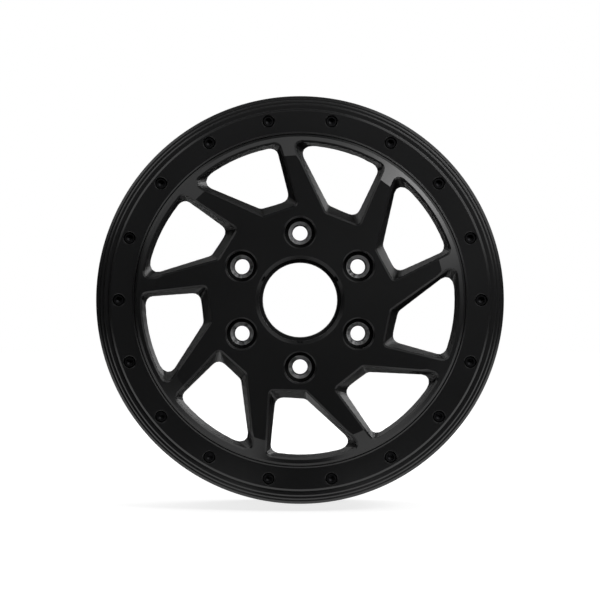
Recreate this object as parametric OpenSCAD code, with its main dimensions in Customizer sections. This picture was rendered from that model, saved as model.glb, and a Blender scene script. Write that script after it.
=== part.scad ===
// Beadlock wheel, 16 x 7 inch, nine raked spokes and an eighteen-screw clamp ring.
// Millimetres. The wheel spins about Y and its face looks towards -Y.
// Every module is drawn with Z along the axle, zero on the mounting face and
// plus towards the street side, and is then stood up by stand_up().

/* [Rim] */
// Width between the two tyre beads
rim_width = 177.8; // [150:0.1:230]
// Distance from the rim's middle plane to the mounting face
wheel_offset = 55; // [40:1:64]
// Diameter of the seats that the tyre beads sit on
bead_seat_d = 405.6; // [380:0.1:432]
// Height of the inboard flange above its bead seat
flange_h = 17.5; // [12:0.5:22]
// Thickness of the barrel
barrel_wall = 5.5; // [4:0.5:8]
// Depth of the drop well below the bead seats
well_drop = 20.8; // [18:0.1:24]
// Distance from the ring's seat back to the drop well's floor
well_start = 59; // [54:1:62]
// Length of the slope from that floor up to the inboard bead seat
well_slope_len = 31.8; // [29:0.1:44]
// Length of the inboard bead seat
seat_len = 25; // [20:1:28]
// Slope of the inboard bead seat in degrees
seat_slope = 5; // [3:0.5:7]
// Width of the gap that the outer tyre bead is clamped in
bead_gap = 15; // [12:0.5:18]
// Thickness of the flange behind the outer tyre bead
support_t = 5; // [4:0.5:7]
// How far that flange stands out past the bead seats
support_over = 8.7; // [6:0.1:11]

/* [Clamp ring] */
// How far the clamp ring stands out past the bead seats
ring_over = 9.5; // [8:0.1:12]
// Width of the clamp ring from its bore to its outer edge
ring_w = 40; // [38:0.1:42]
// Thickness of the clamp ring at its flat face
ring_t = 15; // [14:0.5:18]
// Width of each terrace on the ring's edge, from the face outwards
tread_w = [4.4, 2.5, 1.9]; // [1.5:0.1:5]
// Width of the chamfer on each terrace's edge, the ring's face first
tread_chamfer = [2.0, 1.3, 1.2, 2.7]; // [0.5:0.1:3]
// Drop from the face to the first terrace and from each one to the next
tread_drop = [4, 3, 3]; // [3:0.5:4]
// Height of the collar round the ring's bore
collar_h = 1.2; // [0.4:0.1:2]
// Flat top of that collar
collar_w = 0.8; // [0.4:0.1:1.6]
// Gap between the ring's bore and the wheel's pilot, on the radius
pilot_gap = 0.6; // [0.2:0.1:1]

/* [Ring screws] */
// Number of screws round the ring
screw_count = 18; // [12:1:24]
// Distance from the outer edge of the ring's flat face in to the circle of the screws
screw_inset = 8.2; // [8:0.1:14]
// Diameter of a screw's head
head_d = 11.9; // [10:0.1:13]
// Height of a screw's head
head_h = 7.9; // [6:0.1:8.5]
// Width of the hex socket across its flats
socket_af = 6.35; // [5:0.05:7]
// Depth of the hex socket
socket_deep = 4.2; // [3:0.1:5]
// Diameter of a screw's shank
shank_d = 7.9; // [6:0.1:8]
// Length of a screw's shank
shank_len = 25.4; // [20:0.1:27]
// Distance from the ring's face down to the top of a screw's head
head_sunk = 2.5; // [0.5:0.1:3]
// Gap between a head and its pocket, on the radius
head_gap = 0.25; // [0.1:0.05:0.5]
// Gap between a shank and the ring's hole, on the radius
shank_gap = 0.3; // [0.1:0.05:0.5]
// Chamfer at the mouth of each screw pocket
pocket_chamfer = 0.8; // [0.3:0.1:1.2]
// Outer diameter of a threaded steel insert
insert_d = 13; // [11:0.5:14]
// Length of a threaded steel insert
insert_len = 16; // [12:1:18]
// Distance from the wheel's ring seat down to the top of an insert
insert_sunk = 0.4; // [0.2:0.1:1]
// Running gap round an insert, and round the shank inside it, on the radius
insert_gap = 0.05; // [0.02:0.01:0.1]

/* [Spokes] */
// Number of spokes, with one window between each pair
spoke_count = 9; // [7:1:9]
// Distance that the spoke face stands ahead of the ring's face
face_proud = 12; // [10:0.5:14]
// Width of the ramp from the flat spoke face out to the pilot
ramp_w = 22.3; // [20:0.1:28]
// Fall of the ramp from the spoke face to the pilot's edge
ramp_fall = 7.5; // [5:0.5:8.5]
// Chamfer round the pilot's edge
pilot_chamfer = 2.3; // [1:0.1:2.6]
// Direction of the first window, anticlockwise from the right
window_dir = 71.7; // [0:0.1:360]
// Depth of the spokes at the hub
spoke_deep_hub = 42; // [36:1:46]
// Depth from the spoke face to the back of the spokes at the rim
spoke_deep_rim = 36; // [32:1:38]
// Chamfer along the front edge of each window
window_chamfer = 2; // [1:0.1:2.5]
// Distance from the pilot in to each window's rim side at the front
window_web = 6.2; // [5.7:0.1:9]
// How much further in that side is at the back
window_taper = 4.1; // [3.5:0.1:7]
// Distance from the stud circle out to the front corners by the hub, left then right
hub_corner_out = [23.05, 27.45]; // [21:0.05:30]
// Directions of those corners from the window's middle, in degrees
hub_corner_dir = [2.4, -21.4]; // [-22:0.1:4]
// Distance from the stud circle out to the back corners by the hub, left then right
hub_corner_back_out = [33.45, 34.75]; // [31:0.05:38]
// Directions of those corners
hub_corner_back_dir = [1.5, -15.8]; // [-17:0.1:3]
// Directions of the front corners by the rim, left then right
rim_corner_dir = [21.9, -14.5]; // [-15.5:0.1:22.5]
// Directions of the back corners by the rim, left then right
rim_corner_back_dir = [18.9, -12.6]; // [-14:0.1:20]
// Front corner radii by the hub and by the rim
corner_r = [5.6, 7.5]; // [4:0.1:9]
// Back corner radii by the hub and by the rim
corner_back_r = [8.5, 9]; // [6:0.1:11]

/* [Hub] */
// Bore that fits over the vehicle's hub
bore_d = 78.1; // [70:0.1:80]
// Chamfer at the back of the hub bore
bore_chamfer = 2; // [1:0.5:3]
// Width of the ledge round the bore, at the bottom of the recess for a centre cap
cap_ledge = 3.45; // [2.5:0.05:5]
// Depth of that recess
cap_recess_deep = 15; // [8:1:20]
// Chamfer at the recess's mouth
cap_chamfer = 3.7; // [1:0.1:4]
// Number of notches in the recess's wall
notch_count = 3; // [1:1:6]
// Width of each notch
notch_w = 5.2; // [3:0.1:8]
// How far each notch is cut out past the recess's wall
notch_cut = 2.2; // [0.5:0.1:3]
// Depth of each notch from the spoke face
notch_deep = 7; // [4:1:12]
// Number of wheel studs
lug_count = 6; // [5:1:6]
// Diameter of the stud circle
lug_circle_d = 139.7; // [135:0.1:150]
// Direction of the first stud hole
lug_dir = 30; // [0:1:60]
// Stud hole
lug_hole_d = 15.9; // [14:0.1:17]
// Mouth of the conical nut seat
lug_seat_d = 23.5; // [21:0.1:26]
// Included angle of the conical nut seat
lug_seat_angle = 60; // [50:5:90]
// Depth of the nut seat's mouth below the spoke face
lug_seat_deep = 29; // [20:1:32]
// Pocket that a nut socket goes into
lug_pocket_d = 31.5; // [29:0.1:34]
// Chamfer at the pocket's mouth
lug_pocket_chamfer = 1.5; // [0.5:0.1:2]
// Distance from the stud circle out to the edge of the mounting face
pad_out = 16.15; // [13:0.05:19]
// Round relief pockets between the stud holes on the mounting face
relief_d = 22; // [14:1:26]
// Depth of those pockets
relief_deep = 9; // [4:1:12]

/* [Valve] */
// Hole for the tyre valve
valve_d = 11.5; // [9:0.1:12]
// Direction of the valve hole round the wheel
valve_dir = 67.4; // [60:0.1:74]
// Lean of the valve hole from the axle in degrees
valve_lean = 42; // [38:1:46]
// Relief round the valve, which scallops the window's rim side
valve_relief_d = 26; // [22:0.5:28]
// Distance from the window's rim side in to the scallop's floor
valve_floor_in = 1.9; // [1:0.1:3]
// Level of that floor ahead of the spokes' backs
valve_floor_up = 3; // [0:0.5:6]
// Thickness that the relief leaves for the valve to seat in
valve_wall = 6; // [4:0.5:8]

/* [Hidden] */
$fn = 96;

// Small overlap that carries a cut past the face it starts from
past = 1;
// Steps round each corner of a window and along each of its sides
corner_steps = 4;
side_steps = 6;
// Steps round a filleted corner of a turned outline
fillet_steps = 3;

// Levels along the axle
ring_seat_z = rim_width / 2 - wheel_offset;
ring_face_z = ring_seat_z + ring_t;
face_z = ring_face_z + face_proud;
far_bead_z = ring_seat_z - rim_width;
lug_seat_z = face_z - lug_seat_deep;
head_seat_z = ring_face_z - head_sunk - head_h;
insert_z = ring_seat_z - insert_sunk - insert_len;
spoke_back_z = face_z - spoke_deep_hub;
well_front_z = ring_seat_z - well_start;
well_back_z = far_bead_z + seat_len + well_slope_len;

// Radii from the bead seats: the barrel outwards, then the ring and the street side inwards
land_r = bead_seat_d / 2;
well_r = land_r - well_drop;
flange_r = land_r + flange_h;
support_r = land_r + support_over;
seat_end_r = land_r - seat_len * tan(seat_slope);
ring_r = land_r + ring_over;
ring_bore_r = ring_r - ring_w;
pilot_r = ring_bore_r - pilot_gap;
ramp_end_r = pilot_r - pilot_chamfer;
ramp_start_r = pilot_r - ramp_w;
window_rim_r = pilot_r - window_web;
window_rim_back_r = window_rim_r - window_taper;
valve_floor_r = window_rim_r - valve_floor_in;
// Radius where the spokes' backs run into the barrel, a thin web behind each window
back_web = 2.6;
barrel_joint_r = window_rim_back_r + back_web;
// Radii of the hub: the cap's recess from the bore, the rest from the stud circle
cap_recess_r = bore_d / 2 + cap_ledge;
lug_circle_r = lug_circle_d / 2;
pad_r = lug_circle_r + pad_out;
hub_corner_r = [for (out = hub_corner_out) lug_circle_r + out];
hub_corner_back_r = [for (out = hub_corner_back_out) lug_circle_r + out];
// Thickness of the inboard flange's lip, how far its back leans, and how far it curls
lip_t = 7;
lip_lean = 5;
lip_curl = 1;
// Foot of the shelf behind the outer bead, in from the bead seat and back from the flange
shelf_in = 4;
shelf_back = 2;
shelf_root = [land_r - shelf_in, ring_seat_z - bead_gap - support_t - shelf_back];
// Back of the disc: two steps out from the mounting face, and the spokes' run-out at the barrel
pad_flank = [5, 20];
spoke_run_out = 7;
// Fillets: turned edges, the lip and its face, bead seats, cast corners and the drop well
edge_r = 1.5;
lip_r = 3;
lip_face_r = 4.5;
bead_r = 5;
cast_r = 6;
well_fillet_r = 12;

// Outer edge of the ring's flat face, and the circle that the screws stand on
ring_face_out = ring_r - sum(tread_w) - sum(tread_chamfer);
screw_circle_r = ring_face_out - screw_inset;
// Chamfer on a screw's crown and on its tip, that at its socket, and the hole left below the tip
crown_chamfer = 0.7;
socket_chamfer = 0.5;
tip_room = 2;
// Window cut: its lead ahead of the ramp and of the spoke face, and its run past the spokes'
// backs, as a multiple of the way there
window_lead = 1.5;
window_top = 6;
window_run_out = 1.4;
// Length of the valve's relief ahead of the window's edge
valve_lead = 12;

function sum(list, i = 0) = i < len(list) ? list[i] + sum(list, i + 1) : 0;
function first(list, n) = sum([for (i = [0:1:n - 1]) list[i]]);
function polar(r, a) = r * [cos(a), sin(a)];
function unit(v) = v / norm(v);
function heading(v) = atan2(v[1], v[0]);
function mix(a, b, t) = a + (b - a) * t;

// Height of the wheel's street side at a radius: flat, then the ramp
function street_z(r) =
    face_z - max(0, r - ramp_start_r) * ramp_fall / (ramp_end_r - ramp_start_r);

// Points of an arc, turned the short way from one direction to the other
function arc_points(centre, r, from, to, steps) =
    let (turn = (to - from + 540) % 360 - 180)
    [for (i = [0:steps]) centre + polar(r, from + turn * i / steps)];

// Fillet at corner b between its neighbours a and c, with radius r
function fillet(a, b, c, r) =
    let (u = unit(a - b), v = unit(c - b), half = acos(u * v) / 2)
    r <= 0 || abs(half - 90) < 0.5 ? [b] :
    let (centre = b + unit(u + v) * r / sin(half), reach = r / tan(half))
    arc_points(centre, r, heading(b + u * reach - centre), heading(b + v * reach - centre), fillet_steps);

// Closed outline from a list of [radius, level, fillet]
function turned_outline(list) =
    let (n = len(list), p = [for (q = list) [q[0], q[1]]])
    [for (i = [0:n - 1]) each fillet(p[(i + n - 1) % n], p[i], p[(i + 1) % n], list[i][2])];

module stand_up() { rotate([90, 0, 0]) children(); }

module around(count, first_dir = 0) {
    for (i = [0:count - 1]) rotate(first_dir + 360 * i / count) children();
}

// Wheel: disc, barrel and street side as one turned outline

// Level where the inside of the ramp between well and bead seat is one wall inside radius r
function inner_ramp(r) =
    crossing(
        moved_line([well_r, well_back_z], [seat_end_r, far_bead_z + seat_len], -barrel_wall),
        [[r - barrel_wall, 0], [0, 1]])[1];

// Back of the disc, from the hub bore out to the barrel
disc_back = [
    [bore_d / 2, bore_chamfer, 0],
    [bore_d / 2 + bore_chamfer, 0, 0],
    [pad_r, 0, edge_r],
    [pad_r + pad_flank[0], spoke_back_z / 2, cast_r],
    [pad_r + pad_flank[1], spoke_back_z, 2 * cast_r],
    [barrel_joint_r - spoke_run_out, face_z - spoke_deep_rim, cast_r],
    [barrel_joint_r, spoke_back_z, bead_r]];
// Inside of the barrel, from the disc to the inboard flange's lip
barrel_inside = [
    [well_r - barrel_wall, well_front_z, well_fillet_r],
    [well_r - barrel_wall, inner_ramp(well_r), well_fillet_r],
    [seat_end_r - barrel_wall, inner_ramp(seat_end_r), cast_r],
    [land_r - barrel_wall, far_bead_z - lip_r, cast_r],
    [flange_r - lip_t, far_bead_z - lip_t - lip_lean + lip_curl, lip_r],
    [flange_r, far_bead_z - lip_t - lip_lean, lip_r]];
// Outside of the barrel, from the inboard flange over the drop well to the outer bead's shelf
barrel_outside = [
    [flange_r, far_bead_z - lip_lean, lip_face_r],
    [flange_r - lip_t, far_bead_z, cast_r],
    [land_r, far_bead_z, bead_r],
    [seat_end_r, far_bead_z + seat_len, cast_r],
    [well_r, well_back_z, well_fillet_r],
    [well_r, well_front_z, well_fillet_r],
    [shelf_root[0], shelf_root[1], lip_r],
    [support_r, ring_seat_z - bead_gap - support_t, edge_r],
    [support_r, ring_seat_z - bead_gap, edge_r],
    [land_r, ring_seat_z - bead_gap, edge_r]];
// Ring seat, pilot, ramp, spoke face and cap recess
street_side = [
    [land_r, ring_seat_z, edge_r],
    [pilot_r, ring_seat_z, 0],
    [pilot_r, street_z(ramp_end_r) - pilot_chamfer, 0],
    [ramp_end_r, street_z(ramp_end_r), 0],
    [ramp_start_r, face_z, 0],
    [cap_recess_r + cap_chamfer, face_z, 0],
    [cap_recess_r, face_z - cap_chamfer, 0],
    [cap_recess_r, face_z - cap_recess_deep, 0],
    [bore_d / 2, face_z - cap_recess_deep, 0]];

// Window: a closed outline of three straight sides and a rim arc, all corners round

// Line moved to its left by d, as [point, direction]
function moved_line(a, b, d) = let (u = unit(b - a)) [a + d * [-u[1], u[0]], u];
// Crossing of two lines
function crossing(m, n) =
    let (w = n[0] - m[0], det = m[1][0] * n[1][1] - m[1][1] * n[1][0])
    m[0] + m[1] * (w[0] * n[1][1] - w[1] * n[1][0]) / det;
// Point where a line leaves the circle of radius r round the axle
function on_circle(m, r) =
    let (along = m[0] * m[1], inside = r * r - m[0] * m[0])
    m[0] + m[1] * (sqrt(along * along + inside) - along);

// Window outline moved inwards by d, from its corners' radii and directions, left then right
function window_ring(hub_r, hub_dir, rim_r, rim_dir, radii, d) =
    let (
        hl = polar(hub_r[0], hub_dir[0]),
        hr = polar(hub_r[1], hub_dir[1]),
        rl = polar(rim_r, rim_dir[0]),
        rr = polar(rim_r, rim_dir[1]),
        r_hub = max(radii[0] - d, 1),
        r_rim = max(radii[1] - d, 1),
        c_hl = crossing(moved_line(rl, hl, d + r_hub), moved_line(hl, hr, d + r_hub)),
        c_hr = crossing(moved_line(hl, hr, d + r_hub), moved_line(hr, rr, d + r_hub)),
        c_rr = on_circle(moved_line(hr, rr, d + r_rim), rim_r - d - r_rim),
        c_rl = on_circle([moved_line(rl, hl, d + r_rim)[0], -unit(hl - rl)], rim_r - d - r_rim),
        left = heading(hl - rl) - 90,
        low = heading(hr - hl) - 90,
        right = heading(rr - hr) - 90)
    concat(
        arc_points(c_hl, r_hub, left, low, corner_steps),
        arc_points(c_hr, r_hub, low, right, corner_steps),
        side_points(c_hr + polar(r_hub, right), c_rr + polar(r_rim, right), side_steps),
        arc_points(c_rr, r_rim, right, heading(c_rr), corner_steps),
        [for (i = [1:side_steps]) polar(rim_r - d, mix(heading(c_rr), heading(c_rl), i / (side_steps + 1)))],
        arc_points(c_rl, r_rim, heading(c_rl), left, corner_steps),
        side_points(c_rl + polar(r_rim, left), c_hl + polar(r_hub, left), side_steps));

// Points between two ends, with neither end
function side_points(a, b, steps) = [for (i = [1:steps - 1]) mix(a, b, i / steps)];

// Window cut as four outlines joined by triangles. The second outline and the third
// follow the street side, so that the chamfer keeps its width down the ramp.
module window_cut() {
    mouth = window_ring(hub_corner_r, hub_corner_dir, window_rim_r, rim_corner_dir, corner_r, -window_lead);
    edge = window_ring(hub_corner_r, hub_corner_dir, window_rim_r, rim_corner_dir, corner_r, window_chamfer);
    back = window_ring(hub_corner_back_r, hub_corner_back_dir,
        window_rim_back_r, rim_corner_back_dir, corner_back_r, 0);
    n = len(mouth);
    low = [for (p = edge) [p[0], p[1], street_z(norm(p)) - window_chamfer]];
    points = concat(
        [for (p = mouth) [p[0], p[1], face_z + window_top]],
        [for (p = mouth) [p[0], p[1], street_z(norm(p)) + window_lead]],
        low,
        [for (i = [0:n - 1]) mix(low[i], [back[i][0], back[i][1], spoke_back_z], window_run_out)]);
    sides = [for (k = [0:2], i = [0:n - 1], half = [0, 1])
        let (a = k * n + i, b = k * n + (i + 1) % n)
        half == 0 ? [a, b, b + n] : [a, b + n, a + n]];
    lids = [[for (i = [n - 1:-1:0]) i], [for (i = [0:n - 1]) 3 * n + i]];
    polyhedron(points, concat(sides, lids));
}

module lug_cut() {
    seat_run = (lug_seat_d - lug_hole_d) / 2 / tan(lug_seat_angle / 2);
    translate([lug_circle_r, 0, 0]) {
        translate([0, 0, -past]) cylinder(d = lug_hole_d, h = face_z);
        translate([0, 0, lug_seat_z - seat_run]) cylinder(d1 = lug_hole_d, d2 = lug_seat_d, h = seat_run);
        translate([0, 0, lug_seat_z]) cylinder(d = lug_pocket_d, h = lug_seat_deep + past);
        translate([0, 0, face_z - lug_pocket_chamfer]) cylinder(
            d1 = lug_pocket_d, d2 = lug_pocket_d + 4 * lug_pocket_chamfer, h = 2 * lug_pocket_chamfer);
    }
}

module valve_cut() {
    line = [sin(valve_lean), -cos(valve_lean)];
    start = [valve_floor_r - valve_relief_d / 2 / cos(valve_lean), spoke_back_z + valve_floor_up];
    leave = crossing([start, line], [shelf_root, unit([well_r, well_front_z] - shelf_root)]);
    run = norm(leave - start);
    rotate(valve_dir) translate([start[0], 0, start[1]]) rotate([0, 180 - valve_lean, 0]) {
        translate([0, 0, -valve_lead]) cylinder(d = valve_relief_d, h = valve_lead + run - valve_wall);
        cylinder(d = valve_d, h = run + valve_relief_d / 2);
    }
}

module insert_hole() {
    translate([screw_circle_r, 0, 0]) {
        translate([0, 0, insert_z])
            cylinder(r = insert_d / 2 + insert_gap, h = insert_len + insert_sunk + past);
        translate([0, 0, head_seat_z - shank_len - tip_room])
            cylinder(r = shank_d / 2 + shank_gap, h = shank_len);
    }
}

module wheel() {
    color("#2b2c2e") stand_up() difference() {
        rotate_extrude()
            polygon(turned_outline(concat(disc_back, barrel_inside, barrel_outside, street_side)));
        around(spoke_count, window_dir) window_cut();
        around(lug_count, lug_dir) lug_cut();
        around(lug_count, lug_dir + 180 / lug_count)
            translate([lug_circle_r, 0, -past]) cylinder(d = relief_d, h = relief_deep + past);
        around(notch_count, lug_dir) translate([0, -notch_w / 2, face_z - notch_deep])
            cube([cap_recess_r + notch_cut, notch_w, notch_deep + past]);
        valve_cut();
        around(screw_count) insert_hole();
    }
}

// Ring outline: collar at the bore, flat face, three terraces and the outer edge

// Outer edge and height of the ring's flat face (0) and of each terrace after it
function tread_r(i) = ring_face_out + first(tread_w, i) + first(tread_chamfer, i);
function tread_z(i) = ring_face_z - first(tread_drop, i);

ring_outline = concat(
    [[ring_bore_r, ring_seat_z],
     [ring_bore_r, ring_face_z + collar_h],
     [ring_bore_r + collar_w, ring_face_z + collar_h],
     [ring_bore_r + collar_w + collar_h, ring_face_z]],
    [for (i = [0:len(tread_drop)]) each [
        [tread_r(i), tread_z(i)],
        [tread_r(i) + tread_chamfer[i], tread_z(i) - tread_chamfer[i]],
        [tread_r(i) + tread_chamfer[i], i < len(tread_drop) ? tread_z(i + 1) : ring_seat_z]]]);

module beadlock_ring() {
    color("#222325") stand_up() difference() {
        rotate_extrude() polygon(ring_outline);
        around(screw_count) screw_pocket();
    }
}

module screw_pocket() {
    pocket_r = head_d / 2 + head_gap;
    translate([screw_circle_r, 0, 0]) {
        translate([0, 0, head_seat_z]) cylinder(r = pocket_r, h = ring_t);
        translate([0, 0, ring_seat_z - past]) cylinder(r = shank_d / 2 + shank_gap, h = ring_t);
        translate([0, 0, ring_face_z - pocket_chamfer])
            cylinder(r1 = pocket_r, r2 = pocket_r + 2 * pocket_chamfer, h = 2 * pocket_chamfer);
    }
}

// Socket-head screw: head with a chamfered crown and a hex socket, and a plain shank
module ring_screw() {
    socket_r = socket_af / 2 / cos(30);
    translate([screw_circle_r, 0, head_seat_z]) difference() {
        union() {
            cylinder(d = head_d, h = head_h - crown_chamfer);
            translate([0, 0, head_h - crown_chamfer])
                cylinder(d1 = head_d, d2 = head_d - 2 * crown_chamfer, h = crown_chamfer);
            translate([0, 0, crown_chamfer - shank_len]) cylinder(d = shank_d, h = shank_len);
            translate([0, 0, -shank_len])
                cylinder(d1 = shank_d - 2 * crown_chamfer, d2 = shank_d, h = crown_chamfer);
        }
        translate([0, 0, head_h - socket_deep]) cylinder(r = socket_r, h = socket_deep + past, $fn = 6);
        translate([0, 0, head_h - socket_chamfer])
            cylinder(r1 = socket_af / 2, r2 = socket_af / 2 + 4 * socket_chamfer, h = 4 * socket_chamfer);
    }
}

module ring_screws() {
    color("#1b1b1d") stand_up() around(screw_count) ring_screw();
}

module thread_inserts() {
    color("#8d8f92") stand_up() around(screw_count) translate([screw_circle_r, 0, insert_z]) difference() {
        cylinder(d = insert_d, h = insert_len);
        translate([0, 0, -past]) cylinder(r = shank_d / 2 + insert_gap, h = insert_len + 2 * past);
    }
}

wheel();
beadlock_ring();
ring_screws();
thread_inserts();
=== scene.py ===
# %% [markdown]
# # A beadlock wheel in Blender
# A beadlock wheel is an alloy wheel whose outer tyre bead is clamped under a ring of
# screws, so that the tyre stays on at very low pressure. This lesson dresses a wheel
# that comes in as finished solids: a casting, a clamp ring, its screws and the
# threaded inserts in the casting. The solids give every size. What Blender adds is
# the coat, the bare nut seats with a painted highlight in their colour, rounded edges
# on the ring and real threaded screws.

# %% Load the solids
import math

import bpy
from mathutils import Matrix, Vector


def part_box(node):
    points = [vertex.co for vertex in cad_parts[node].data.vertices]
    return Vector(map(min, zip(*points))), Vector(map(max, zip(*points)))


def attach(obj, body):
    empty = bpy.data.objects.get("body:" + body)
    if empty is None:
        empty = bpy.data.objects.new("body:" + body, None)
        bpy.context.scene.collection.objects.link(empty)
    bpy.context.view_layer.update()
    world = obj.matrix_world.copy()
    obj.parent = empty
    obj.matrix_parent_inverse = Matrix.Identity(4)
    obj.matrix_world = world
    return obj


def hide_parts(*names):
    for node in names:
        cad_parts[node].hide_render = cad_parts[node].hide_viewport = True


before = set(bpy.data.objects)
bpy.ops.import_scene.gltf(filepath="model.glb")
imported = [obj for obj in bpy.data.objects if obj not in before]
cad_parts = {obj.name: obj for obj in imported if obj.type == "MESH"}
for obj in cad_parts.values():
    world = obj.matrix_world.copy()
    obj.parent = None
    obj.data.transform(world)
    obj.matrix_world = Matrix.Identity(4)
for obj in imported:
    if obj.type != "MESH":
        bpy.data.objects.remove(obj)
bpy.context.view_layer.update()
MM = 0.001
scene = bpy.context.scene
print("solids:", sorted(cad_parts))

# %% [markdown]
# ## Where things are
# The wheel spins about Y and its face looks towards -Y. The boxes of the solids give
# the levels along the axle and the outer radii. Sizes that a box can't tell, such as
# the width of a terrace, are written here in millimetres. A level counts from the
# mounting face towards the street, so it is minus Y.

# %% Levels and radii
ring_low, ring_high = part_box("beadlock_ring")
wheel_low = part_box("wheel")[0]
screws_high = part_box("ring_screws")[1]
COLLAR_H = 1.2 * MM
RING_SEAT = -ring_high.y
RING_FACE = -ring_low.y - COLLAR_H
STREET_FACE = -wheel_low.y
FLOOR_LEVEL = wheel_low.z

RING_BORE_R = 172.3 * MM
COLLAR_W = 0.8 * MM
TREADS = [4.4 * MM, 2.5 * MM, 1.9 * MM]
CHAMFERS = [2.0 * MM, 1.3 * MM, 1.2 * MM, 2.7 * MM]
DROPS = [4 * MM, 3 * MM, 3 * MM]
RING_OUT_R = ring_high.x

SCREWS = 18
SCREW_CIRCLE_R = 188.1 * MM
HEAD_R = 5.95 * MM
HEAD_H = 7.9 * MM
SHANK_R = 3.95 * MM
SHANK_LEN = 25.4 * MM
HEAD_SEAT = -screws_high.y + SHANK_LEN
print(f"street face {STREET_FACE:.4f} m, ring face {RING_FACE:.4f} m")
print(f"head seat {HEAD_SEAT:.4f} m, floor {FLOOR_LEVEL:.4f} m")

# %% [markdown]
# ## Camera
# A catalogue picture of a wheel is taken square to its face from a few metres, so that
# the spokes hardly taper. The lens follows from the distance and from how much of the
# spoke face one pixel covers. The axle is in the middle of the picture.

# %% Camera
PHOTO = 600
CAMERA_DISTANCE = 3.0
MM_PER_PIXEL = 1.0325 * MM
SENSOR = 36.0
FARTHEST_SEEN = 100

camera_data = bpy.data.cameras.new("camera")
camera_data.sensor_width = SENSOR
camera_data.lens = SENSOR * CAMERA_DISTANCE / (PHOTO * MM_PER_PIXEL)
camera_data.clip_end = FARTHEST_SEEN
camera = bpy.data.objects.new("camera", camera_data)
camera.location = (0, -STREET_FACE - CAMERA_DISTANCE, 0)
camera.rotation_euler = (math.radians(90), 0, 0)
scene.collection.objects.link(camera)
scene.camera = camera
scene.view_settings.view_transform = "Standard"
print(f"lens {camera_data.lens:.1f} mm at {CAMERA_DISTANCE} m")

# %% [markdown]
# ## Node maths as expressions
# A node tree is easier to read as arithmetic. The class wraps one socket and turns
# each operator into a Math node, so `0.4 + 0.1 * speckle` builds the nodes by itself.
# The same class serves shader trees and geometry trees, because both know Math nodes.
# Any other node comes from `add`, which takes its type, its settings and its sockets.


# %% A socket that does arithmetic
class Value:
    def __init__(self, tree, socket):
        self.tree = tree
        self.socket = socket

    def math(self, operation, *others):
        node = self.tree.nodes.new("ShaderNodeMath")
        node.operation = operation
        for slot, item in zip(node.inputs, (self, *others)):
            plug(self.tree, slot, item)
        return Value(self.tree, node.outputs[0])

    def __add__(self, other):
        return self.math("ADD", other)

    def __mul__(self, other):
        return self.math("MULTIPLY", other)

    def __sub__(self, other):
        return self.math("SUBTRACT", other)

    def __truediv__(self, other):
        return self.math("DIVIDE", other)

    def __rsub__(self, other):
        return (self * -1.0) + other

    def __neg__(self):
        return self * -1.0

    def __pow__(self, other):
        return self.math("POWER", other)

    __radd__ = __add__
    __rmul__ = __mul__


def plug(tree, slot, item):
    if isinstance(item, Value):
        tree.links.new(item.socket, slot)
    elif item is not None:
        slot.default_value = item


def add(tree, kind, settings=None, out=0, **sockets):
    node = tree.nodes.new(kind)
    for name, value in (settings or {}).items():
        setattr(node, name, value)
    for name, item in sockets.items():
        plug(tree, node.inputs[name.replace("_", " ")], item)
    return Value(tree, node.outputs[out])


def new_tree(owner):
    owner.use_nodes = True
    owner.node_tree.nodes.clear()
    return owner.node_tree


# %% [markdown]
# ## A white studio with black cards
# A black glossy thing shows what stands round it. The photo has a white ground, yet
# its flat faces are almost black, and slopes are bright where they look to the upper
# right, middling where they look up or down, and dark where they look left or right.
# A photographer gets that in a white room, with one lamp in front at the upper right,
# one behind on each side of the top, and black cards for the rest. The cards here are
# seen by reflections only, and the lamps and the room stay at a plain level.

# %% World
AMBIENT = 0.5
WHITE = (1, 1, 1, 1)


def seen_directly(tree):
    path = tree.nodes.new("ShaderNodeLightPath")
    seen = Value(tree, path.outputs["Is Camera Ray"])
    seen = seen.math("MAXIMUM", Value(tree, path.outputs["Is Glossy Ray"]))
    return seen.math("MAXIMUM", Value(tree, path.outputs["Is Transmission Ray"]))


def paint_world():
    world = bpy.data.worlds.new("white_room")
    scene.world = world
    tree = new_tree(world)
    white = add(tree, "ShaderNodeBackground", Color=WHITE, Strength=1.0)
    soft = add(tree, "ShaderNodeBackground", Color=WHITE, Strength=AMBIENT)
    mixed = tree.nodes.new("ShaderNodeMixShader")
    plug(tree, mixed.inputs[0], seen_directly(tree))
    plug(tree, mixed.inputs[1], soft)
    plug(tree, mixed.inputs[2], white)
    out = tree.nodes.new("ShaderNodeOutputWorld")
    tree.links.new(mixed.outputs[0], out.inputs["Surface"])


paint_world()
print("world: white where it is seen,", AMBIENT, "as light")

# %% Floor
FLOOR_HALF = 9.0
FLOOR_GLOW = 0.77
FLOOR_COLOUR = (0.5, 0.5, 0.5, 1)


def flat_sheet(name, corners, material):
    mesh = bpy.data.meshes.new(name)
    mesh.from_pydata([Vector(c) for c in corners], [], [(0, 1, 2, 3)])
    mesh.materials.append(material)
    sheet = bpy.data.objects.new(name, mesh)
    scene.collection.objects.link(sheet)
    return sheet


def floor_paint():
    material = bpy.data.materials.new("floor_paint")
    tree = new_tree(material)
    dull = add(tree, "ShaderNodeBsdfDiffuse", Color=FLOOR_COLOUR)
    glow = add(tree, "ShaderNodeEmission", Color=WHITE, Strength=seen_directly(tree) * FLOOR_GLOW)
    both = tree.nodes.new("ShaderNodeAddShader")
    plug(tree, both.inputs[0], dull)
    plug(tree, both.inputs[1], glow)
    out = tree.nodes.new("ShaderNodeOutputMaterial")
    tree.links.new(both.outputs[0], out.inputs["Surface"])
    return material


def on_floor(x0, y0, x1, y1, lift=0.0):
    z = FLOOR_LEVEL + lift
    return [(x0, y0, z), (x1, y0, z), (x1, y1, z), (x0, y1, z)]


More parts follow.
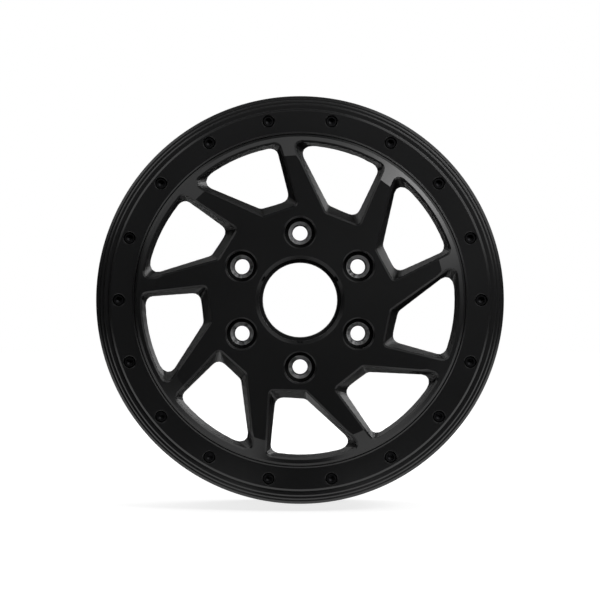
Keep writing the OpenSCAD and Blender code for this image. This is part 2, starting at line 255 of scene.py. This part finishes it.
flat_sheet("floor", on_floor(-FLOOR_HALF, -FLOOR_HALF, FLOOR_HALF, FLOOR_HALF), floor_paint())
print(f"floor: {2 * FLOOR_HALF} m square at {FLOOR_LEVEL:.4f} m")

# %% Lamps
# Name, degrees round the axle, degrees off the axle's street end, distance, size, watts.
LAMPS = [
    ("key", 42.0, 42.0, 2.4, 0.8, 20.0),
    ("key_behind", 34.0, 150.0, 2.4, 0.9, 15.5),
    ("left_behind", 122.0, 150.0, 2.4, 1.1, 9.0),
]


def hang_lamp(name, direction, off_axis, distance, size, watts):
    data = bpy.data.lights.new(name, "AREA")
    data.shape = "DISK"
    data.size = size
    data.energy = watts
    lamp = bpy.data.objects.new(name, data)
    turn, lean = math.radians(direction), math.radians(off_axis)
    across = distance * math.sin(lean)
    lamp.location = (across * math.cos(turn), -distance * math.cos(lean), across * math.sin(turn))
    lamp.rotation_euler = (-lamp.location).to_track_quat("-Z", "Y").to_euler()
    lamp.visible_camera = False
    scene.collection.objects.link(lamp)


for lamp in LAMPS:
    hang_lamp(*lamp)

# %% Black cards
CARD_BLACK = (0.004, 0.004, 0.004, 1)
CARD_LIFT = 2 * MM

card_paint = bpy.data.materials.new("card_black")
card_tree = new_tree(card_paint)
card_out = card_tree.nodes.new("ShaderNodeOutputMaterial")
card_face = add(card_tree, "ShaderNodeBsdfDiffuse", Color=CARD_BLACK)
card_tree.links.new(card_face.socket, card_out.inputs["Surface"])


def black_card(name, corners):
    card = flat_sheet(name, corners, card_paint)
    card.visible_camera = False
    card.visible_diffuse = False
    card.visible_shadow = False
    card.visible_transmission = False
    card.visible_volume_scatter = False


def upright(x0, y0, x1, y1, top, bottom=FLOOR_LEVEL + CARD_LIFT):
    return [(x0, y0, bottom), (x1, y1, bottom), (x1, y1, top), (x0, y0, top)]


# In metres: a card on the floor has two opposite corners, an upright one its ends and top.
CARDS = {
    "card_front": upright(-2.0, -3.2, 2.0, -3.2, 1.7),
    "card_front_floor": on_floor(-1.7, -3.7, 1.7, -0.21, CARD_LIFT),
    "card_under": on_floor(-0.05, -0.21, 0.05, -0.08, CARD_LIFT),
    "card_back": upright(-1.7, 1.6, 1.7, 1.6, 1.5),
    "card_back_floor_left": on_floor(-1.7, 0.34, -0.05, 1.4, CARD_LIFT),
    "card_back_floor": on_floor(-0.05, 0.31, 1.7, 1.4, CARD_LIFT),
    "card_near_floor": on_floor(-0.07, 0.18, 0.12, 0.28, CARD_LIFT),
    "card_far_floor": on_floor(0.1, 1.4, 1.7, 1.6, CARD_LIFT),
    "card_left": upright(-0.9, -2.6, -0.9, 1.6, 0.35),
    "card_right": upright(0.9, -2.6, 0.9, 1.6, 0.22),
    "card_top": [(-0.8, -0.35, 1.2), (0.4, -0.35, 1.2), (0.4, 0.35, 1.2), (-0.8, 0.35, 1.2)],
}
for name, corners in CARDS.items():
    black_card(name, corners)
print(len(LAMPS), "lamps and", len(CARDS), "cards")

# %% [markdown]
# ## The black coat
# The wheel is powder coated: a sprayed plastic skin with a satin shine and a very fine
# orange peel. Two noises give the peel, and a slow one moves the roughness and the
# tone a little, as on any coat that has been baked. A wave in rings round the axle
# stands for the faint marks that the lathe tool left under the coat.

# %% Coat
COAT_COLOUR = (0.0055, 0.0056, 0.0059)
COAT_CLOUD = 1.35
COAT_ROUGH = 0.33
CLOUD_SCALE = 9.0
CLOUD_ROUGH = 0.08
PEEL_SCALE = 520.0
PEEL_SHARE = 0.7
FINE_SCALE = 4 * PEEL_SCALE
FINE_SHARE = 0.3
FINE_ROUGH = 0.05
TOOL_PITCH = 0.23 * MM
PEEL_DEPTH = 0.02 * MM
BUMP_STRENGTH = 0.35
# A Mix node has sockets for each kind of data, and these are the ones for colours.
MIX_FIRST = 6
MIX_SECOND = 7
MIX_OUT = 2


def object_point(tree):
    return add(tree, "ShaderNodeTexCoord", out="Object")


def noise(tree, point, scale, detail=2.0):
    return add(tree, "ShaderNodeTexNoise", Vector=point, Scale=scale, Detail=detail)


def split(tree, point):
    node = tree.nodes.new("ShaderNodeSeparateXYZ")
    plug(tree, node.inputs[0], point)
    return [Value(tree, socket) for socket in node.outputs]


def ramp_up(tree, value, start, end):
    return add(tree, "ShaderNodeMapRange", {"clamp": True}, Value=value, From_Min=start, From_Max=end)


def blend_colour(tree, factor, first, second):
    node = tree.nodes.new("ShaderNodeMix")
    node.data_type = "RGBA"
    plug(tree, node.inputs["Factor"], factor)
    plug(tree, node.inputs[MIX_FIRST], first if isinstance(first, Value) else (*first, 1))
    plug(tree, node.inputs[MIX_SECOND], second if isinstance(second, Value) else (*second, 1))
    return Value(tree, node.outputs[MIX_OUT])


def finish(material, tree, colour, **sockets):
    bsdf = add(tree, "ShaderNodeBsdfPrincipled", Base_Color=colour, **sockets)
    out = tree.nodes.new("ShaderNodeOutputMaterial")
    tree.links.new(bsdf.socket, out.inputs["Surface"])
    return material


def coat_base(tree, point, radius, tool_mark):
    cloud = noise(tree, point, CLOUD_SCALE)
    fine = noise(tree, point, FINE_SCALE)
    peel = PEEL_SHARE * noise(tree, point, PEEL_SCALE) + FINE_SHARE * fine
    rings = (radius * (2 * math.pi / TOOL_PITCH)).math("SINE")
    height = peel + rings * tool_mark
    rough = COAT_ROUGH + CLOUD_ROUGH * (cloud - 0.5) + FINE_ROUGH * (fine - 0.5)
    colour = blend_colour(tree, cloud, COAT_COLOUR, [c * COAT_CLOUD for c in COAT_COLOUR])
    return colour, rough, height


# %% [markdown]
# ## Bare nut seats, with a painted highlight
# A wheel nut has to sit on metal, because a coat would creep and let it work loose. So
# the six conical seats are masked before spraying, and show as turned aluminium at the
# bottom of black pockets, while the lip of each stud hole keeps some coat. Their colour
# is near white and hardly metallic, which is painted highlight: it stands in for the
# light that the seats catch from the key lamp. The mask is plain geometry: fold the
# angle round the axle onto one hole, measure the distance to its axis, and keep the band
# of the seat below its mouth. Another mask finds the back of the disc, which stays as
# cast, so that its grain is coarser under the same coat.

# %% Wheel material
LUGS = 6
LUG_DIRECTION = 30.0
LUG_CIRCLE_R = 69.85 * MM
LUG_BARE_R = 11.95 * MM
LUG_LIP_R = 8.6 * MM
LUG_LIP_EDGE = 0.3 * MM
LUG_POCKET_DEEP = 29 * MM
LUG_SEAT_DEEP = 8 * MM
LUG_SEAT = STREET_FACE - LUG_POCKET_DEEP
LUG_SEAT_END = LUG_SEAT - LUG_SEAT_DEEP
BARE_EDGE = 0.15 * MM
# Near white: painted highlight for the light the bare seats catch, not the colour of bare aluminium.
SEAT_BARE_HIGHLIGHT_COLOUR = (0.95, 0.95, 0.96)
BARE_ROUGH = 0.34
BARE_METAL = 0.06
SEAT_PITCH = 0.35 * MM
SEAT_MARK = 0.25
CAST_FROM = 18.5 * MM
CAST_TO = 16 * MM
CAST_RADIUS = 156 * MM
CAST_EDGE = 1 * MM
CAST_SCALE = 260.0
CAST_DETAIL = 4.0
CAST_HEIGHT = 6.0
CAST_ROUGH = 0.12
WHEEL_TOOL_MARK = 0.06
RING_TOOL_MARK = 0.12


def wheel_material():
    material = bpy.data.materials.new("wheel_coat")
    tree = new_tree(material)
    point = object_point(tree)
    x, y, z = split(tree, point)
    radius = (x * x + z * z) ** 0.5
    level = -y
    colour, rough, height = coat_base(tree, point, radius, WHEEL_TOOL_MARK)

    half = math.pi / LUGS
    turn = (z.math("ARCTAN2", x) - math.radians(LUG_DIRECTION)).math("WRAP", half, -half)
    along = radius * turn.math("COSINE") - LUG_CIRCLE_R
    across = radius * turn.math("SINE")
    lug_r = (along * along + across * across) ** 0.5
    bare_seat_highlight = ramp_up(tree, lug_r, LUG_BARE_R + BARE_EDGE, LUG_BARE_R)
    bare_seat_highlight = bare_seat_highlight * ramp_up(tree, lug_r, LUG_LIP_R - LUG_LIP_EDGE, LUG_LIP_R + LUG_LIP_EDGE)
    bare_seat_highlight = bare_seat_highlight * ramp_up(tree, level, LUG_SEAT + BARE_EDGE, LUG_SEAT)
    bare_seat_highlight = bare_seat_highlight * ramp_up(tree, level, LUG_SEAT_END - BARE_EDGE, LUG_SEAT_END)

    behind = ramp_up(tree, level, CAST_FROM, CAST_TO)
    behind = behind * ramp_up(tree, radius, CAST_RADIUS + CAST_EDGE, CAST_RADIUS)
    grain = noise(tree, point, CAST_SCALE, CAST_DETAIL)
    marks = (lug_r * (2 * math.pi / SEAT_PITCH)).math("SINE")
    height = height + behind * grain * CAST_HEIGHT + bare_seat_highlight * marks * SEAT_MARK
    rough = rough + behind * CAST_ROUGH
    rough = rough * (1 - bare_seat_highlight) + bare_seat_highlight * BARE_ROUGH
    bump = add(tree, "ShaderNodeBump", Strength=BUMP_STRENGTH, Distance=PEEL_DEPTH, Height=height)
    # The seat band takes the near-white colour: painted highlight on the bare seats.
    colour = blend_colour(tree, bare_seat_highlight, colour, SEAT_BARE_HIGHLIGHT_COLOUR)
    return finish(material, tree, colour, Metallic=bare_seat_highlight * BARE_METAL, Roughness=rough, Normal=bump)


def ring_material():
    material = bpy.data.materials.new("ring_coat")
    tree = new_tree(material)
    point = object_point(tree)
    x, _, z = split(tree, point)
    radius = (x * x + z * z) ** 0.5
    colour, rough, height = coat_base(tree, point, radius, RING_TOOL_MARK)
    bump = add(tree, "ShaderNodeBump", Strength=BUMP_STRENGTH, Distance=PEEL_DEPTH, Height=height)
    return finish(material, tree, colour, Roughness=rough, Normal=bump)


wheel_coat = wheel_material()
ring_coat = ring_material()
for coat in (wheel_coat, ring_coat):
    print(f"{coat.name}: {len(coat.node_tree.nodes)} nodes")

# %% [markdown]
# ## Screws and inserts
# Socket-head screws for this job are black oxide on steel: metal, but dark and a little
# oily. The inserts are plain bright steel.

# %% Metals
SPECK_SCALE = 900.0
SPECK_TONE = 1.2
SPECK_BUMP = 0.2
SPECK_DEPTH = 0.01 * MM


def metal(name, colour, rough_mid, rough_swing):
    material = bpy.data.materials.new(name)
    tree = new_tree(material)
    speck = noise(tree, object_point(tree), SPECK_SCALE)
    rough = rough_mid + rough_swing * (speck - 0.5)
    bump = add(tree, "ShaderNodeBump", Strength=SPECK_BUMP, Distance=SPECK_DEPTH, Height=speck)
    tone = blend_colour(tree, speck, colour, [c * SPECK_TONE for c in colour])
    return finish(material, tree, tone, Metallic=1.0, Roughness=rough, Normal=bump)


black_oxide = metal("black_oxide", (0.016, 0.016, 0.017), rough_mid=0.48, rough_swing=0.2)
insert_steel = metal("insert_steel", (0.42, 0.42, 0.43), rough_mid=0.32, rough_swing=0.15)
print("metals:", black_oxide.name, insert_steel.name)

# %% [markdown]
# ## Geometry Nodes from Python
# The ring and its screws follow rules, so Geometry Nodes make them. A tree is made
# with one named input for each size, which stays adjustable. The sizes are set by the
# socket's identifier before the object is first evaluated. Then the result is copied
# to a plain mesh and the modifier goes, so that only finished geometry is handed over.

# %% Trees with named inputs
SOCKET_KINDS = {int: "NodeSocketInt", float: "NodeSocketFloat", bpy.types.Material: "NodeSocketMaterial"}
QUARTER_TURN = math.radians(90)
ROUND_SIDES = 48
# A face whose normal is this near to the axle's direction is flat, and is shaded so.
ALONG_AXLE = 0.9999


def size_tree(name, sizes):
    tree = bpy.data.node_groups.new(name, "GeometryNodeTree")
    tree.interface.new_socket("Mesh", in_out="OUTPUT", socket_type="NodeSocketGeometry")
    for label, value in sizes.items():
        tree.interface.new_socket(label, in_out="INPUT", socket_type=SOCKET_KINDS[type(value)])
    group = tree.nodes.new("NodeGroupInput")
    return tree, {label: Value(tree, group.outputs[label]) for label in sizes}


def vector(tree, x=0.0, y=0.0, z=0.0):
    return add(tree, "ShaderNodeCombineXYZ", X=x, Y=y, Z=z)


def cone(tree, low_r, high_r, depth, level, sides=ROUND_SIDES, rows=1):
    mesh = add(tree, "GeometryNodeMeshCone", Vertices=sides, Side_Segments=rows,
               Radius_Bottom=low_r, Radius_Top=high_r, Depth=depth)
    return add(tree, "GeometryNodeTransform", Geometry=mesh, Translation=vector(tree, z=level))


def boolean(tree, operation, base, others):
    node = tree.nodes.new("GeometryNodeMeshBoolean")
    node.operation = operation
    node.solver = "EXACT"
    if base is not None:
        plug(tree, node.inputs["Mesh 1"], base)
    for other in others:
        tree.links.new(other.socket, node.inputs["Mesh 2"])
    return Value(tree, node.outputs[0])


def shade(tree, mesh, domain, smooth, where=None):
    return add(tree, "GeometryNodeSetShadeSmooth", {"domain": domain},
               Geometry=mesh, Selection=where, Shade_Smooth=smooth)


def stand_and_end(tree, mesh, material, smooth_below):
    angle = add(tree, "GeometryNodeInputMeshEdgeAngle")
    above = {"data_type": "FLOAT", "operation": "GREATER_THAN"}
    sharp = add(tree, "FunctionNodeCompare", above, A=angle, B=smooth_below)
    mesh = shade(tree, mesh, "FACE", True)
    mesh = shade(tree, mesh, "EDGE", False, sharp)
    _, _, normal_z = split(tree, add(tree, "GeometryNodeInputNormal"))
    flat = normal_z.math("ABSOLUTE").math("GREATER_THAN", ALONG_AXLE)
    mesh = shade(tree, mesh, "FACE", False, flat)
    mesh = add(tree, "GeometryNodeTransform", Geometry=mesh, Rotation=(QUARTER_TURN, 0, 0))
    mesh = add(tree, "GeometryNodeRealizeInstances", Geometry=mesh)
    mesh = add(tree, "GeometryNodeSetMaterial", Geometry=mesh, Material=material)
    out = tree.nodes.new("NodeGroupOutput")
    tree.links.new(mesh.socket, out.inputs[0])


def make_piece(name, tree, sizes):
    host = bpy.data.objects.new(name, bpy.data.meshes.new(name + "_empty"))
    scene.collection.objects.link(host)
    modifier = host.modifiers.new("shape", "NODES")
    modifier.node_group = tree
    for item in tree.interface.items_tree:
        if item.in_out == "INPUT":
            modifier[item.identifier] = sizes[item.name]
    bpy.context.view_layer.update()
    evaluated = host.evaluated_get(bpy.context.evaluated_depsgraph_get())
    host_mesh = bpy.data.meshes.new_from_object(evaluated)
    host.modifiers.remove(modifier)
    host_mesh.name = name
    host.data = host_mesh
    triangles = sum(len(face.vertices) - 2 for face in host_mesh.polygons)
    print(f"{name}: {triangles} triangles")
    return host


# %% [markdown]
# ## The clamp ring
# The real ring is turned from plate: a flat face, a low collar at the bore and three
# narrow terraces down its edge, and every edge is broken by the tool. It could be a
# bevelled mesh, but a turned part is best made as the lathe makes it. The tree lays
# out the section as points worked out from the terraces, rounds its corners, sweeps
# it round a circle and then drills the eighteen pockets, which are copies on a circle.

# %% Ring section
SWEEP_STEPS = 256
EDGE_R = 0.3 * MM
EDGE_STEPS = 3
POCKET_GAP = 0.25 * MM
POCKET_CHAMFER = 0.8 * MM
HOLE_GAP = 0.3 * MM
DRILL_PAST = 2 * MM
RING_SMOOTH = math.radians(28)


def ring_sizes():
    sizes = {"Bore radius": RING_BORE_R, "Seat level": RING_SEAT, "Face level": RING_FACE,
             "Collar height": COLLAR_H, "Collar width": COLLAR_W}
    for i, (width, drop) in enumerate(zip(TREADS, DROPS)):
        sizes[f"Terrace {i + 1} width"] = width
        sizes[f"Terrace {i + 1} drop"] = drop
    for i, chamfer in enumerate(CHAMFERS):
        sizes[f"Chamfer {i + 1}"] = chamfer
    sizes.update({"Outer radius": RING_OUT_R, "Edge radius": EDGE_R, "Edge steps": EDGE_STEPS,
                  "Sweep steps": SWEEP_STEPS, "Screws": SCREWS, "Screw circle": SCREW_CIRCLE_R,
                  "Head seat level": HEAD_SEAT, "Pocket radius": HEAD_R + POCKET_GAP,
                  "Pocket chamfer": POCKET_CHAMFER, "Hole radius": SHANK_R + HOLE_GAP,
                  "Material": ring_coat})
    return sizes


def ring_section(s):
    bore, face = s["Bore radius"], s["Face level"]
    corners = [(bore, s["Seat level"]), (bore, face + s["Collar height"]),
               (bore + s["Collar width"], face + s["Collar height"]),
               (bore + s["Collar width"] + s["Collar height"], face)]
    edge = s["Outer radius"]
    for i in range(len(TREADS)):
        edge = edge - s[f"Terrace {i + 1} width"] - s[f"Chamfer {i + 1}"]
    edge = edge - s[f"Chamfer {len(CHAMFERS)}"]
    level = face
    for i in range(len(CHAMFERS)):
        chamfer = s[f"Chamfer {i + 1}"]
        corners += [(edge, level), (edge + chamfer, level - chamfer)]
        edge = edge + chamfer
        level = level - s[f"Terrace {i + 1} drop"] if i < len(DROPS) else s["Seat level"]
        corners.append((edge, level))
        if i < len(TREADS):
            edge = edge + s[f"Terrace {i + 1} width"]
    return corners


def closed_line(tree, points):
    line = add(tree, "GeometryNodeMeshLine", Count=len(points))
    index = add(tree, "GeometryNodeInputIndex")
    choose = tree.nodes.new("GeometryNodeIndexSwitch")
    choose.data_type = "VECTOR"
    while len(choose.index_switch_items) < len(points):
        choose.index_switch_items.new()
    plug(tree, choose.inputs["Index"], index)
    for i, point in enumerate(points):
        plug(tree, choose.inputs[str(i)], point)
    line = add(tree, "GeometryNodeSetPosition", Geometry=line, Position=Value(tree, choose.outputs[0]))
    curve = add(tree, "GeometryNodeMeshToCurve", Mesh=line)
    return add(tree, "GeometryNodeSetSplineCyclic", Geometry=curve, Cyclic=True)


# %% Ring tree
def ring_tree(sizes):
    tree, s = size_tree("turned_clamp_ring", sizes)
    # A sweep lays the section's X outwards and its Y downwards.
    points = [vector(tree, x=r - s["Bore radius"], y=-z) for r, z in ring_section(s)]
    section = closed_line(tree, points)
    section = add(tree, "GeometryNodeFilletCurve", {"mode": "POLY"}, Curve=section,
                  Count=s["Edge steps"], Radius=s["Edge radius"], Limit_Radius=True)
    circle = add(tree, "GeometryNodeCurvePrimitiveCircle",
                 Resolution=s["Sweep steps"], Radius=s["Bore radius"])
    ring = add(tree, "GeometryNodeCurveToMesh", Curve=circle, Profile_Curve=section)

    seat, face = s["Seat level"], s["Face level"]
    through = face - seat + 2 * DRILL_PAST
    hole = cone(tree, s["Hole radius"], s["Hole radius"], through, seat - DRILL_PAST)
    pocket = cone(tree, s["Pocket radius"], s["Pocket radius"], through, s["Head seat level"])
    # The mouth's cone is twice as tall as the chamfer, so that it ends above the face.
    flare = s["Pocket radius"] + 2 * s["Pocket chamfer"]
    mouth = cone(tree, s["Pocket radius"], flare, 2 * s["Pocket chamfer"], face - s["Pocket chamfer"])
    drill = boolean(tree, "UNION", None, [hole, pocket, mouth])
    spots = add(tree, "GeometryNodeMeshCircle", Vertices=s["Screws"], Radius=s["Screw circle"])
    drills = add(tree, "GeometryNodeInstanceOnPoints", Points=spots, Instance=drill)
    drills = add(tree, "GeometryNodeRealizeInstances", Geometry=drills)
    ring = boolean(tree, "DIFFERENCE", ring, [drills])
    stand_and_end(tree, ring, s["Material"], RING_SMOOTH)
    return tree


sizes = ring_sizes()
clamp_ring = make_piece("clamp_ring", ring_tree(sizes), sizes)

# %% [markdown]
# ## The ring screws
# Each is a socket-head cap screw, 5/16 inch with eighteen threads to the inch. Its head
# is knurled so that fingers can start it, and its socket ends in the cone that a drill
# leaves. Nobody lines up eighteen sockets, so each screw is turned by its own random
# angle, with a fixed seed. The thread is a rule as well: the radius of a long cylinder
# is a triangle wave of its height less its angle, which makes a helix.

# %% Screw tree
HEAD_SIDES = 72
SOCKET_AF = 6.35 * MM
SOCKET_DEEP = 4.2 * MM
CROWN = 0.7 * MM
KNURL_DEPTH = 0.12 * MM
PITCH = 1.411 * MM
THREAD_DEPTH = 0.75 * MM
NECK = 3.0 * MM
THREAD_ROWS = 72
THREAD_SIDES = 20
SCREW_SEED = 5
SCREW_SMOOTH = math.radians(25)
HEX = 6
SOCKET_PAST = 1 * MM
SOCKET_MOUTH = 0.5 * MM
# The mouth's cone is taller than the mouth, so that it ends above the head.
MOUTH_CONE = 4 * SOCKET_MOUTH
DRILL_CONE = 1.2 * MM
DRILL_TIP = 0.05
DRILL_WIDTH = 0.95
DRILL_OVERLAP = 0.05 * MM
DRILL_SIDES = 24
# A Random Value node has an output for each kind of data, and this is the plain number.
RANDOM_NUMBER = 1


def screw_sizes():
    return {"Head radius": HEAD_R, "Head height": HEAD_H, "Crown": CROWN, "Knurl depth": KNURL_DEPTH,
            "Socket across flats": SOCKET_AF, "Socket depth": SOCKET_DEEP, "Shank radius": SHANK_R,
            "Shank length": SHANK_LEN, "Pitch": PITCH, "Thread depth": THREAD_DEPTH, "Neck": NECK,
            "Screws": SCREWS, "Screw circle": SCREW_CIRCLE_R, "Head seat level": HEAD_SEAT,
            "Seed": SCREW_SEED, "Material": black_oxide}


def scaled_round(tree, mesh, factor):
    x, y, z = split(tree, add(tree, "GeometryNodeInputPosition"))
    place = vector(tree, x * factor, y * factor, z)
    return add(tree, "GeometryNodeSetPosition", Geometry=mesh, Position=place)


def threaded_shank(tree, s):
    shank = cone(tree, s["Shank radius"], s["Shank radius"], s["Shank length"] + s["Crown"],
                 -s["Shank length"], THREAD_SIDES, THREAD_ROWS)
    x, y, z = split(tree, add(tree, "GeometryNodeInputPosition"))
    phase = (z / s["Pitch"] - y.math("ARCTAN2", x) / (2 * math.pi)).math("FRACT")
    wave = (phase - 0.5).math("ABSOLUTE") * 2
    cut = ramp_up(tree, z, -s["Neck"], -s["Neck"] - s["Pitch"]) * wave
    tip = ramp_up(tree, z, s["Crown"] - s["Shank length"], -s["Shank length"]) * s["Crown"]
    deep = (cut * s["Thread depth"]).math("MAXIMUM", tip)
    return scaled_round(tree, shank, 1 - deep / s["Shank radius"])


def knurled_head(tree, s):
    straight = s["Head height"] - s["Crown"]
    side = cone(tree, s["Head radius"], s["Head radius"], straight, 0.0, HEAD_SIDES)
    # Drawing in every second point of the round turns its side into ridges.
    odd = add(tree, "GeometryNodeInputIndex").math("MODULO", 2.0)
    side = scaled_round(tree, side, 1 - odd * s["Knurl depth"] / s["Head radius"])
    inner = s["Head radius"] - s["Knurl depth"]
    crown = cone(tree, inner, inner - s["Crown"], s["Crown"], straight, HEAD_SIDES)
    return side, crown


def hex_socket(tree, s):
    flat = s["Socket across flats"] / 2
    floor_level = s["Head height"] - s["Socket depth"]
    corner = flat / math.cos(math.pi / HEX)
    bore = cone(tree, corner, corner, s["Socket depth"] + SOCKET_PAST, floor_level, HEX)
    tip_level = floor_level - DRILL_CONE + DRILL_OVERLAP
    point = cone(tree, flat * DRILL_TIP, flat * DRILL_WIDTH, DRILL_CONE, tip_level, DRILL_SIDES)
    mouth = cone(tree, flat, flat + MOUTH_CONE, MOUTH_CONE, s["Head height"] - SOCKET_MOUTH)
    return [bore, point, mouth]


def screw_tree(sizes):
    tree, s = size_tree("cap_screws", sizes)
    side, crown = knurled_head(tree, s)
    screw = boolean(tree, "UNION", None, [side, crown, threaded_shank(tree, s)])
    screw = boolean(tree, "DIFFERENCE", screw, hex_socket(tree, s))
    spots = add(tree, "GeometryNodeMeshCircle", Vertices=s["Screws"], Radius=s["Screw circle"])
    seat = vector(tree, z=s["Head seat level"])
    spots = add(tree, "GeometryNodeTransform", Geometry=spots, Translation=seat)
    chance = tree.nodes.new("FunctionNodeRandomValue")
    chance.data_type = "FLOAT"
    plug(tree, chance.inputs["Seed"], s["Seed"])
    turn = Value(tree, chance.outputs[RANDOM_NUMBER]) * (2 * math.pi / HEX)
    screws = add(tree, "GeometryNodeInstanceOnPoints",
                 Points=spots, Instance=screw, Rotation=vector(tree, z=turn))
    screws = add(tree, "GeometryNodeRealizeInstances", Geometry=screws)
    stand_and_end(tree, screws, s["Material"], SCREW_SMOOTH)
    return tree


sizes = screw_sizes()
cap_screws = make_piece("cap_screws", screw_tree(sizes), sizes)

# %% [markdown]
# ## Dress and hand over
# The casting and the inserts keep their solids and only get a finish. The ring and the
# screws made above stand in for theirs, at the same places: each is put on the root
# body and the solid that it replaces is hidden. The table lists for each the finish it
# stands for and the solid that it replaces.


# %% Dress the solids that stay
def dress(node, material):
    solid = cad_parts[node]
    solid.data.materials.clear()
    solid.data.materials.append(material)


dress("wheel", wheel_coat)
dress("thread_inserts", insert_steel)
print("dressed: wheel, thread_inserts")

# %% New pieces
NEW_PIECES = [
    (clamp_ring, "ring_coat", "beadlock_ring"),
    (cap_screws, "screw_black", "ring_screws"),
]
for piece, slot, node in NEW_PIECES:
    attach(piece, "root")
    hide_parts(node)
    print(piece.name, "stands in for", node)
